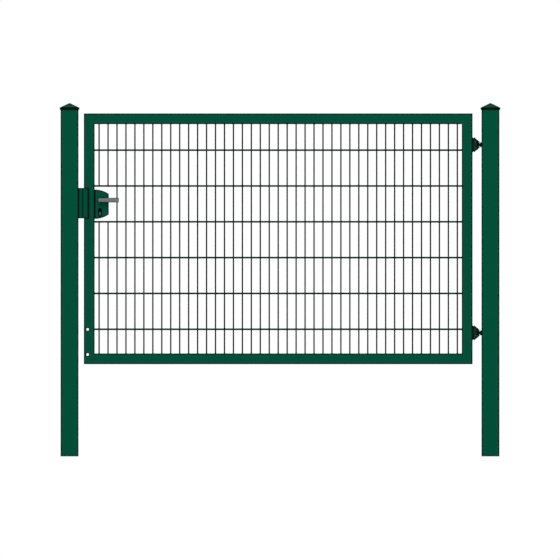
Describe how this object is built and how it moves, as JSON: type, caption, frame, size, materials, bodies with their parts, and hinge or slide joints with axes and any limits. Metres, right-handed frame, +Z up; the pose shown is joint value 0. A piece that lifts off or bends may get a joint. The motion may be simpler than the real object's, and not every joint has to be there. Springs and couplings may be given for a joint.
{
  "type": "tubular frame gate",
  "caption": "Single-leaf tubular steel gate with welded double-wire infill, hung between two capped square posts, with a lever lock and a stop keeper.",
  "frame": {"origin": "centre of the foot of the hinge post", "axes": "+X from the lock post to the hinge post, across the opening; -Y the front, where the keeper stops the leaf; +Z up"},
  "size_m": [2.46, 0.116, 1.973],
  "materials": {
    "green_coat": "moss green powder coat, satin, on galvanised steel",
    "wire_coat": "moss green powder coat on round wire",
    "lock_coat": "green coated aluminium casting",
    "cap": "dark green moulded plastic",
    "rubber": "black rubber strip",
    "dark_steel": "black-green coated forged steel",
    "zinc": "zinc plated",
    "stainless": "brushed stainless steel",
    "cylinder_metal": "satin nickel",
    "black_metal": "blackened brass",
    "lever_aluminium": "satin anodised"
  },
  "bodies": {
    "posts": {"hinge_post": "green_coat", "lock_post": "green_coat", "hinge_post_cap": "cap", "lock_post_cap": "cap", "keeper": "green_coat", "keeper_rubber": "rubber", "keeper_screws": "zinc", "upper_eye_bolt": "dark_steel", "lower_eye_bolt": "dark_steel", "upper_eye_nuts": "dark_steel", "lower_eye_nuts": "dark_steel"},
    "leaf": {"lock_stile": "green_coat", "hinge_stile": "green_coat", "top_rail": "green_coat", "bottom_rail": "green_coat", "panel_lock_side": "wire_coat", "panel_middle": "wire_coat", "panel_hinge_side": "wire_coat", "lock_case": "lock_coat", "lock_face_plate": "stainless", "latch": "stainless", "dead_bolt": "stainless", "lock_cylinder": "cylinder_metal", "cylinder_plugs": "black_metal", "upper_hinge_fork": "dark_steel", "lower_hinge_fork": "dark_steel", "upper_hinge_pin": "stainless", "lower_hinge_pin": "stainless", "hinge_screws": "dark_steel"},
    "lever": {"lever_spindle": "stainless", "front_lever_neck": "lever_aluminium", "back_lever_neck": "lever_aluminium", "front_lever": "lever_aluminium", "back_lever": "lever_aluminium"}
  },
  "joints": [
    {"name": "leaf_swing", "type": "hinge", "parent": "posts", "child": "leaf", "pos_m": [-0.075, 0, 1.215], "axis": [0, 0, -1], "range_deg": [0, 90]},
    {"name": "lever_turn", "type": "hinge", "parent": "leaf", "child": "lever", "pos_m": [-2.18, 0, 1.431], "axis": [0, 1, 0], "range_deg": [0, 40], "stiffness_Nm_per_rad": 1, "springref_deg": -28.65}
  ]
}
